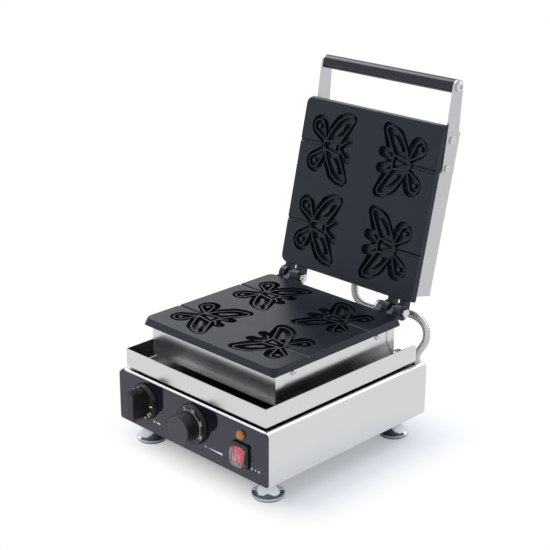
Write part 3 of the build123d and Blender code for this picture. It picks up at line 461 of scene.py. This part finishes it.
def round_hull(circles, inset=0.0):
    """The outline drawn tightly round circles, each x, y, radius in mm, as corners in metres."""
    spots = []
    for x, y, radius in circles:
        reach = radius - inset
        for step in range(circle_steps):
            turn = 2 * pi * step / circle_steps
            spots.append(((x + reach * cos(turn)) * mm, (y + reach * sin(turn)) * mm))
    return [spots[index] for index in convex_hull_2d(spots)]


def both_sides(spots):
    """Circles or corners as listed, and mirrored to the other wing."""
    return [spots, [(x, -y, *radius) for x, y, *radius in spots]]


def linked(name, mesh):
    """An object in the scene from a bmesh, with its faces turned outwards."""
    bmesh.ops.recalc_face_normals(mesh, faces=mesh.faces)
    return in_scene(name, mesh)


def loft(mesh, rings):
    """A closed solid through rings of as many corners each."""
    loops = [[mesh.verts.new(corner) for corner in ring] for ring in rings]
    mesh.faces.new(reversed(loops[0]))
    mesh.faces.new(loops[-1])
    for lower, upper in zip(loops, loops[1:]):
        for index in range(len(lower)):
            after = (index + 1) % len(lower)
            mesh.faces.new((lower[index], lower[after], upper[after], upper[index]))


def prisms(name, outlines, bottom, top):
    """Upright blocks with the given outlines."""
    mesh = bmesh.new()
    for outline in outlines:
        loft(mesh, [[(x, y, level) for x, y in outline] for level in (bottom, top)])
    return linked(name, mesh)


def carve(piece, tool, operation="DIFFERENCE"):
    """Takes the tool's shape out of a piece, or joins it on, and removes the tool."""
    modifier = piece.modifiers.new("carve", "BOOLEAN")
    modifier.object = tool
    modifier.operation = operation
    modifier.solver = "EXACT"
    modifier.use_self = True
    graph = bpy.context.evaluated_depsgraph_get()
    carved = bpy.data.meshes.new_from_object(piece.evaluated_get(graph))
    piece.modifiers.clear()
    piece.data = carved
    bpy.data.objects.remove(tool)


def in_metres(corners):
    """Corners given in mm, in metres."""
    return [(x * mm, y * mm) for x, y in corners]


# The mould of one cavity
cavity_outlines = [round_hull(body_outline)]
for outline in wing_outlines:
    cavity_outlines += [round_hull(wing) for wing in both_sides(outline)]
below = -cavity_depth - plate_edge
cavity = prisms("cavity", cavity_outlines, -cavity_depth, plate_edge)
wings = [wing for ridge in wing_ridges for wing in both_sides(ridge)]
ridge_lines = prisms("ridges", [round_hull(wing) for wing in wings], below, ridge_top)
inside_wings = [round_hull(wing, ridge_width) for wing in wings]
carve(ridge_lines, prisms("inside_wings", inside_wings, below - plate_edge, plate_edge))
carve(ridge_lines, prisms("body", [round_hull(body_ridge)], below, ridge_top), "UNION")
inside_body = [round_hull(body_ridge, ridge_width)]
carve(ridge_lines, prisms("inside_body", inside_body, below - plate_edge, plate_edge))
feelers = [in_metres(feeler) for feeler in both_sides(feeler_ridge)]
carve(ridge_lines, prisms("feelers", feelers, below, ridge_top), "UNION")
carve(cavity, ridge_lines)
tops = [in_metres(body_island)]
tops += [in_metres(island) for island in both_sides(fore_island)]
tops += [round_hull(island) for island in both_sides(hind_island)]
carve(cavity, prisms("islands", tops, below, ridge_top))


def rounded_ring(half_width, front, rear, corner, level, steps=6):
    """The corners of a rounded rectangle at one level."""
    ring = []
    for x_way, y_way, start in ((1, 1, 0), (-1, 1, pi / 2), (-1, -1, pi), (1, -1, 3 * pi / 2)):
        x = x_way * (half_width - corner)
        y = rear - corner if y_way > 0 else front + corner
        for step in range(steps + 1):
            turn = start + pi / 2 * step / steps
            ring.append((x + corner * cos(turn), y + corner * sin(turn), level))
    return ring


plate_mesh = bmesh.new()
loft(
    plate_mesh,
    [
        rounded_ring(
            plate_half_width - inset,
            plate_middle - plate_half_depth + inset,
            plate_middle + plate_half_depth - rear_inset + ear_hold,
            corner,
            level,
        )
        for level, corner, inset, rear_inset in (
            (-plate_thickness, plate_back_corner - plate_edge, plate_edge, plate_edge),
            (plate_edge - plate_thickness, plate_back_corner, 0, 0),
            (-plate_edge, plate_corner, plate_draft, 0),
            (0, plate_corner - plate_edge, plate_draft + plate_edge, plate_edge),
        )
    ],
)
plate = linked("plate", plate_mesh)
groove_radius = (stick_half_width**2 + stick_depth**2) / (2 * stick_depth)
for side, turn in ((-1, 0), (1, pi)):
    for row in (-1, 1):
        row_y = plate_middle + row * cavity_spacing / 2
        tool = bpy.data.objects.new("cavity_tool", cavity.data.copy())
        scene.collection.objects.link(tool)
        spot = Matrix.Translation((side * cavity_x, row_y, 0))
        tool.data.transform(spot @ Matrix.Rotation(turn, 4, "Z"))
        carve(plate, tool)
        groove = bmesh.new()
        rings = []
        for x in (side * stick_start, side * (plate_half_width + plate_edge)):
            level = groove_radius - stick_depth
            turns = [2 * pi * step / circle_steps for step in range(circle_steps)]
            rings.append(
                [(x, row_y + groove_radius * cos(a), level + groove_radius * sin(a)) for a in turns]
            )
        loft(groove, rings)
        carve(plate, linked("groove", groove))
bpy.data.objects.remove(cavity)


def carried_over(mesh, node, cuts, way):
    """Adds what a CAD node has beyond each cutting plane, such as its ears and lugs."""
    for point, normal in cuts:
        part = bmesh.new()
        part.from_mesh(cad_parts[node].data)
        bmesh.ops.remove_doubles(part, verts=part.verts, dist=plate_edge / 1000)
        point = way @ Vector(point)
        normal = way.to_3x3() @ Vector(normal)
        everything = part.verts[:] + part.edges[:] + part.faces[:]
        cut = bmesh.ops.bisect_plane(
            part, geom=everything, plane_co=point, plane_no=normal, clear_inner=True
        )
        edges = [item for item in cut["geom_cut"] if isinstance(item, bmesh.types.BMEdge)]
        bmesh.ops.triangle_fill(part, edges=edges, use_beauty=True)
        data = bpy.data.meshes.new("part")
        part.to_mesh(data)
        part.free()
        mesh.from_mesh(data)
        bpy.data.meshes.remove(data)


def finished_plate(name, node, body, way, turned, cuts):
    """One whole plate: the carved slab in its place, with its ears and lugs."""
    mesh = bmesh.new()
    mesh.from_mesh(plate.data)
    bmesh.ops.transform(mesh, matrix=way, verts=mesh.verts)
    bmesh.ops.recalc_face_normals(mesh, faces=mesh.faces)
    carried_over(mesh, node, cuts, turned)
    piece = in_scene(name, mesh)
    piece.data.materials.append(coating)
    for polygon in piece.data.polygons:
        polygon.use_smooth = False
        polygon.material_index = 0
    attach(piece, body)
    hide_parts(node)


plate_rear = plate_middle + plate_half_depth
seam = ear_hold / 4
finished_plate(
    "lower_cooking_plate",
    "lower_plate",
    "base",
    Matrix.Translation((0, 0, plate_face)),
    Matrix.Identity(4),
    [
        ((0, plate_rear + seam, 0), (0, 1, 0)),
        ((0, 0, plate_face - plate_thickness - seam), (0, 0, -1)),
    ],
)
hinge = Matrix.Translation((0, *hinge_line))
swing = hinge @ Matrix.Rotation(lid_angle, 4, "X") @ hinge.inverted()
finished_plate(
    "upper_cooking_plate",
    "upper_plate",
    "lid",
    swing @ Matrix.Translation((0, 0, lid_face)) @ Matrix.Diagonal((1, 1, -1, 1)),
    swing,
    [
        ((0, plate_rear + seam, 0), (0, 1, 0)),
        ((0, 0, lid_face + plate_thickness + seam), (0, 0, 1)),
    ],
)
bpy.data.objects.remove(plate)

# Handle
# A bar moulded in black phenolic resin on a steel rod. The mould was polished, so the bar is deep
# black with a narrow bluish highlight along it.
phenolic_gloss = {"Specular Tint": (0.82, 0.84, 1, 1)}
phenolic = start_material("polished_black_phenolic", "#0D0D14", 0.1, phenolic_gloss)
spread(phenolic, "Roughness", mottle(phenolic, smudge_size, detail=3), 0.08, 0.14)
dress(phenolic, "handle_grip")

# Screws, bolts and nuts
# Fasteners, spacers, posts and shafts of plain stainless steel, turned, with the soft gleam of
# fine tool marks and slightly broken edges.
fastener_steel = start_material("turned_stainless_fasteners", "#D0D2D4", 0.22, {"Metallic": 1})
tool_mark = 0.0004
emboss(fastener_steel, mottle(fastener_steel, tool_mark, detail=1), 0.15, 0.00005, edge=0.0003)
dress(
    fastener_steel,
    "rear_screws",
    "foot_studs",
    "foot_nuts",
    "tray_spacers",
    "pan_posts",
    "pan_bolts",
    "pan_nuts",
    "pan_screws",
    "hinge_bolts",
    "hinge_nuts",
    "arm_screws",
    "handle_screws",
    "handle_rod",
    "timer_shaft",
    "thermostat_shaft",
)

# Feet
# Pressed steel cups, chrome plated, each on a dark blue rubber pad. The chrome mirrors the room in
# slightly wavy patches, and painted shade darkens its colour close under the casing. The rubber is
# dull.
chrome = start_material("chrome_plate", "#CDD2DC", 0.08, {"Metallic": 1})
press_mark = 0.005
emboss(chrome, mottle(chrome, press_mark, detail=1), 0.35, 0.0005, edge=0.0004)
casing_shade = {"Distance": 0.06, "samples": 8}
# Painted shade: the chrome's colour runs dark where the casing closes over it
painted_shade_under_casing = add_node(chrome.node_tree, "ShaderNodeAmbientOcclusion", casing_shade)
tint(chrome, painted_shade_under_casing.outputs["AO"], (0.3, "#4A5560"), (0.65, "#E4E9F2"))
dress(chrome, "foot_cups")
rubber = start_material("dark_rubber", "#1A2040", 0.6)
emboss(rubber, mottle(rubber, tool_mark), 0.3, 0.0001)
dress(rubber, "foot_pads")

# Knobs and other mouldings
# The knobs are ABS from a spark-eroded mould: black, with a fine satin texture that spreads their
# highlights. The bodies behind the panel, the switch and the cord gland are from a polished mould.
knob_abs = start_material("satin_black_abs", "#0D0D0F", 0.4)
spark_size = 0.0005
emboss(knob_abs, mottle(knob_abs, spark_size, detail=1), 0.2, 0.00005, edge=0.0005)
dress(knob_abs, "timer_knob", "thermostat_knob")
gloss_abs = start_material("gloss_black_abs", "#0E0E12", 0.2)
spread(gloss_abs, "Roughness", mottle(gloss_abs, handling_size), 0.15, 0.26)
dress(
    gloss_abs,
    "timer_body",
    "thermostat_body",
    "switch_housing",
    "lamp_holder",
    "mains_gland",
    "terminal_block",
)

# Knob print
# White ticks on the timer's skirt, and dots with numbers on the thermostat's, in the same matt ink,
# pad-printed on the moulding so that they turn with it.
timer_centre = (-0.0785, 0.0649)
thermostat_centre = (0.005, 0.0649)
skirt_stand = 0.0063
skirt_ink_front = panel_front - skirt_stand - print_thickness
tick_width = 0.0013


def clock_point(centre, radius, hour):
    """The point at a radius on the given hour of a clock face."""
    turn = hour / 12 * 2 * pi
    return (centre[0] + radius * sin(turn), centre[1] + radius * cos(turn))


# The hour of each tick, and the radii at which it starts and ends
ticks = [
    (10.5, 0.0150, 0.0200),
    (11.5, 0.0155, 0.0200),
    (3.0, 0.0150, 0.0196),
    (4.0, 0.0165, 0.0196),
    (4.5, 0.0150, 0.0196),
    (5.3, 0.0170, 0.0196),
    (6.1, 0.0160, 0.0196),
]
tick_marks = []
for hour, inner, outer in ticks:
    start = clock_point(timer_centre, inner, hour)
    end = clock_point(timer_centre, outer, hour)
    tick_marks.append(stroke(start, end, tick_width))
printed("timer_ticks", tick_marks, skirt_ink_front, "timer")

dot_count = 17
dot_corners = 8
dot_radius = 0.0008
dot_circle = 0.0186
first_dot_hour = 11.2
dotted_hours = 5.0
dot_marks = []
for step in range(dot_count):
    hour = first_dot_hour + dotted_hours * step / (dot_count - 1)
    middle = clock_point(thermostat_centre, dot_circle, hour)
    dot_marks.append(fan_points(middle, dot_radius, dot_corners)[:-1])
printed("heat_dots", dot_marks, skirt_ink_front, "thermostat")

number_size = 0.0042
number_circle = 0.0212


def printed_number(name, text, hour):
    """A number on the thermostat's skirt, its head outwards."""
    curve = bpy.data.curves.new(name, "FONT")
    curve.body = text
    curve.size = number_size
    curve.align_x = "CENTER"
    curve.align_y = "CENTER"
    holder = bpy.data.objects.new(name, curve)
    scene.collection.objects.link(holder)
    data = bpy.data.meshes.new_from_object(holder)
    bpy.data.objects.remove(holder)
    x, z = clock_point(thermostat_centre, number_circle, hour)
    upright = Matrix.Rotation(pi / 2, 4, "X")
    turned = Matrix.Rotation(-hour / 12 * 2 * pi, 4, "Z")
    data.transform(Matrix.Translation((x, skirt_ink_front, z)) @ upright @ turned)
    number = bpy.data.objects.new(name, data)
    scene.collection.objects.link(number)
    data.materials.append(print_ink)
    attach(number, "thermostat")


for text, hour in (("0", 11.3), ("100", 12.6), ("200", 2.2), ("300", 3.8)):
    printed_number("number_" + text, text, hour)

# Knob details
# The thermostat's grip has a grey cap let into its front, lighter than the knob as painted light, with
# a thin pale foil rim as a painted highlight, and the timer's bar has raised ribs across both ends for
# the fingers.
# Painted light: the cap is a lighter grey where the front catches the light, and the pale rim stands in
# for its highlight
lit_front_paint = start_material("painted_lit_grey_cap", "#2B2C31", 0.32)
emboss(lit_front_paint, mottle(lit_front_paint, spark_size, detail=1), 0.1, 0.00005)
rim_highlight_paint = start_material("painted_rim_highlight_foil", "#6C6F76", 0.3, {"Metallic": 1})
spread(rim_highlight_paint, "Roughness", mottle(rim_highlight_paint, spark_size), 0.25, 0.4)


def turned_piece(name, centre, profile, sides=48):
    """A round piece about a knob's axis, through radius and depth pairs."""
    mesh = bmesh.new()
    rings = []
    for radius, depth in profile:
        circle = fan_points(centre, radius, sides)[:-1]
        rings.append([(x, depth, z) for x, z in circle])
    loft(mesh, rings)
    return linked(name, mesh)


grip_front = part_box("thermostat_knob")[0].y
cap_stand = 0.0003
cap_radius = 0.0148
rim_width = 0.0006
cap = turned_piece(
    "thermostat_cap",
    thermostat_centre,
    [
        (cap_radius, grip_front + cap_stand),
        (cap_radius, grip_front),
        (cap_radius - cap_stand, grip_front - cap_stand),
        (cap_radius * 0.6, grip_front - cap_stand * 0.5),
        (cap_radius * 0.1, grip_front - cap_stand * 0.4),
    ],
)
rim = turned_piece(
    "thermostat_rim",
    thermostat_centre,
    [
        (cap_radius + rim_width, grip_front + cap_stand),
        (cap_radius + rim_width, grip_front - cap_stand / 2),
        (cap_radius, grip_front - cap_stand / 2),
        (cap_radius - cap_stand / 2, grip_front + cap_stand),
    ],
)
for piece, material in ((cap, lit_front_paint), (rim, rim_highlight_paint)):
    piece.data.materials.append(material)
    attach(piece, "thermostat")
bar_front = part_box("timer_knob")[0].y
bar_half_length = 0.018
rib_half_length = 0.0053
rib_width = 0.0009
rib_height = 0.0005
rib_count = 6
rib_pitch = 0.0022
first_rib = 0.0015
rib_mesh = bmesh.new()
for end in (-1, 1):
    for index in range(rib_count):
        depth = bar_front + first_rib + rib_pitch * index
        left = timer_centre[0] - rib_half_length
        right = timer_centre[0] + rib_half_length
        rings = []
        for level, width in ((-rib_height, rib_width), (rib_height, rib_width / 2)):
            z = timer_centre[1] + end * (bar_half_length + level)
            front = depth - width / 2
            back = depth + width / 2
            rings.append([(left, front, z), (right, front, z), (right, back, z), (left, back, z)])
        loft(rib_mesh, rings)
ribs = linked("timer_ribs", rib_mesh)
ribs.data.materials.append(knob_abs)
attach(ribs, "timer")

# Lamp
# A round lens of amber polycarbonate, glossy, with upright prisms moulded inside, raised as bumps, and
# the darker and paler stripes they throw painted into its colour as painted shade and highlight.
amber = start_material("amber_polycarbonate", "#C67A28", 0.12)
tree = amber.node_tree
prism_width = 0.0022
place = add_node(tree, "ShaderNodeTexCoord")
across = {"Scale": (1 / prism_width, 0.001, 0.001)}
prism_place = add_node(tree, "ShaderNodeMapping", across, {"Vector": place.outputs["Object"]})
steps = {"Scale": 0.5, "wave_profile": "TRI"}
stripes = add_node(tree, "ShaderNodeTexWave", steps, {"Vector": prism_place.outputs[0]}).outputs[0]
emboss(amber, stripes, 0.5, 0.0004)
# Painted shade and highlight: the prisms' stripes darken and lighten the lens colour
tint(amber, stripes, (0.1, "#8A4D14"), (0.9, "#D58A3A"))
dress(amber, "power_lamp")

# Rocker switch
# A red nylon rocker, satin from its mould, under a clear vinyl splash cover. The cover is glossy, with
# pale streaks down it painted on as reflections.
red_nylon = start_material("red_nylon", "#E82F3C", 0.3)
emboss(red_nylon, mottle(red_nylon, spark_size, detail=1), 0.2, 0.00005, edge=0.0006)
dress(red_nylon, "rocker")
clear_vinyl = start_material("clear_vinyl", "#E9E9F2", 0.12)
reflection_streak_width = 0.0012
reflection_streak_stretch = 12
# Painted reflection: pale streaks where the cover is made less clear
streaks = mottle(clear_vinyl, reflection_streak_width, detail=1, stretch=(1, 1, reflection_streak_stretch))
spread(clear_vinyl, "Alpha", streaks, 0.03, 0.55, 0.5, 0.75)
dress(clear_vinyl, "rocker_cover")

# Inner pieces
# Tubular heaters with a dark oxide skin, straw-coloured mineral wool and the wires' sleeve, out of
# sight in the closed pans.
heater_steel = start_material("oxidised_heater_steel", "#4B4742", 0.5, {"Metallic": 1})
scale_size = 0.003
spread(heater_steel, "Roughness", mottle(heater_steel, scale_size), 0.4, 0.7)
dress(heater_steel, "lower_heater", "upper_heater", "sensor_bulb")
mineral_wool = start_material("mineral_wool", "#B9AF93", 0.9)
fibre_width = 0.0006
fibre_stretch = 8
fibres = mottle(mineral_wool, fibre_width, stretch=(fibre_stretch, 1, 1))
emboss(mineral_wool, fibres, 0.8, 0.0004)
dress(mineral_wool, "lower_insulation", "upper_insulation", "wire_sleeve")

# Studio
# A white floor that keeps a soft shadow near the object and runs out into the white surround,
# and two large soft lamps at a plain level, to the left and behind.
floor_mesh = bpy.data.meshes.new("floor")
floor_reach = 6.0
corners = [(-1, -1), (1, -1), (1, 1), (-1, 1)]
floor_mesh.from_pydata([(x * floor_reach, y * floor_reach, 0) for x, y in corners], [], [(0, 1, 2, 3)])
floor = bpy.data.objects.new("floor", floor_mesh)
scene.collection.objects.link(floor)
floor_paint = start_material("white_floor", "#F1F6FD", 0.7, {"Specular IOR Level": 0.2})
tree = floor_paint.node_tree
shadow_reach = 0.02
white_reach = 0.07
shadow_lift = 0.31


def seen_rays(tree):
    """1 for rays that the camera, a gloss or a clear piece looks along, else 0."""
    rays = add_node(tree, "ShaderNodeLightPath")
    either = {"operation": "MAXIMUM"}
    looks = {0: rays.outputs["Is Camera Ray"], 1: rays.outputs["Is Glossy Ray"]}
    seen = add_node(tree, "ShaderNodeMath", either, looks)
    looks = {0: seen.outputs[0], 1: rays.outputs["Is Transmission Ray"]}
    return add_node(tree, "ShaderNodeMath", either, looks).outputs[0]


# How far a spot of the floor is outside the casing's box decides how white it looks
place = add_node(tree, "ShaderNodeTexCoord")
mirrored = {"operation": "ABSOLUTE"}
side = add_node(tree, "ShaderNodeVectorMath", mirrored, {0: place.outputs["Object"]})
casing_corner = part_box("casing_shell")[1]
past_casing = {"operation": "SUBTRACT", 1: (casing_corner.x, casing_corner.y, 0)}
beyond = add_node(tree, "ShaderNodeVectorMath", past_casing, {0: side.outputs[0]})
not_inside = {"operation": "MAXIMUM", 1: (0, 0, 0)}
outside = add_node(tree, "ShaderNodeVectorMath", not_inside, {0: beyond.outputs[0]})
distance = add_node(tree, "ShaderNodeVectorMath", {"operation": "LENGTH"}, {0: outside.outputs[0]})
fading = {"From Min": shadow_reach, "From Max": white_reach, "To Min": shadow_lift}
far = add_node(tree, "ShaderNodeMapRange", fading, {"Value": distance.outputs["Value"]})
both = {0: far.outputs[0], 1: seen_rays(tree)}
far_seen = add_node(tree, "ShaderNodeMath", {"operation": "MULTIPLY"}, both)
plain_white = add_node(tree, "ShaderNodeEmission", {"Color": (1, 1, 1, 1), "Strength": 1.0})
painted = tree.nodes["Principled BSDF"].outputs[0]
shares = {0: far_seen.outputs[0], 1: painted, 2: plain_white.outputs[0]}
floor_surface = add_node(tree, "ShaderNodeMixShader", None, shares)
tree.links.new(floor_surface.outputs[0], tree.nodes["Material Output"].inputs["Surface"])
floor.data.materials.append(floor_paint)

world = bpy.data.worlds.new("studio")
scene.world = world
world.use_nodes = True
tree = world.node_tree
tree.nodes.clear()
daylight = (0.91, 0.955, 1, 1)
room_light = add_node(tree, "ShaderNodeBackground", {"Color": daylight, "Strength": 0.85})
backdrop = add_node(tree, "ShaderNodeBackground", {"Color": (1, 1, 1, 1), "Strength": 1.0})
shares = {0: seen_rays(tree), 1: room_light.outputs[0], 2: backdrop.outputs[0]}
mixed = add_node(tree, "ShaderNodeMixShader", None, shares)
add_node(tree, "ShaderNodeOutputWorld", None, {"Surface": mixed.outputs[0]})


lamp_size = 1.3
aim_at = Vector((0, 0, 0.15))


def soft_lamp(name, place, watts):
    """A large square lamp that faces the object."""
    lamp = bpy.data.lights.new(name, "AREA")
    lamp.shape = "SQUARE"
    lamp.size = lamp_size
    lamp.energy = watts
    holder = bpy.data.objects.new(name, lamp)
    holder.location = place
    holder.rotation_euler = (aim_at - Vector(place)).to_track_quat("-Z", "Y").to_euler()
    scene.collection.objects.link(holder)


soft_lamp("left_lamp", (-1.7, 0.3, 1.9), 20)
soft_lamp("back_lamp", (0.1, 1.9, 1.9), 14)
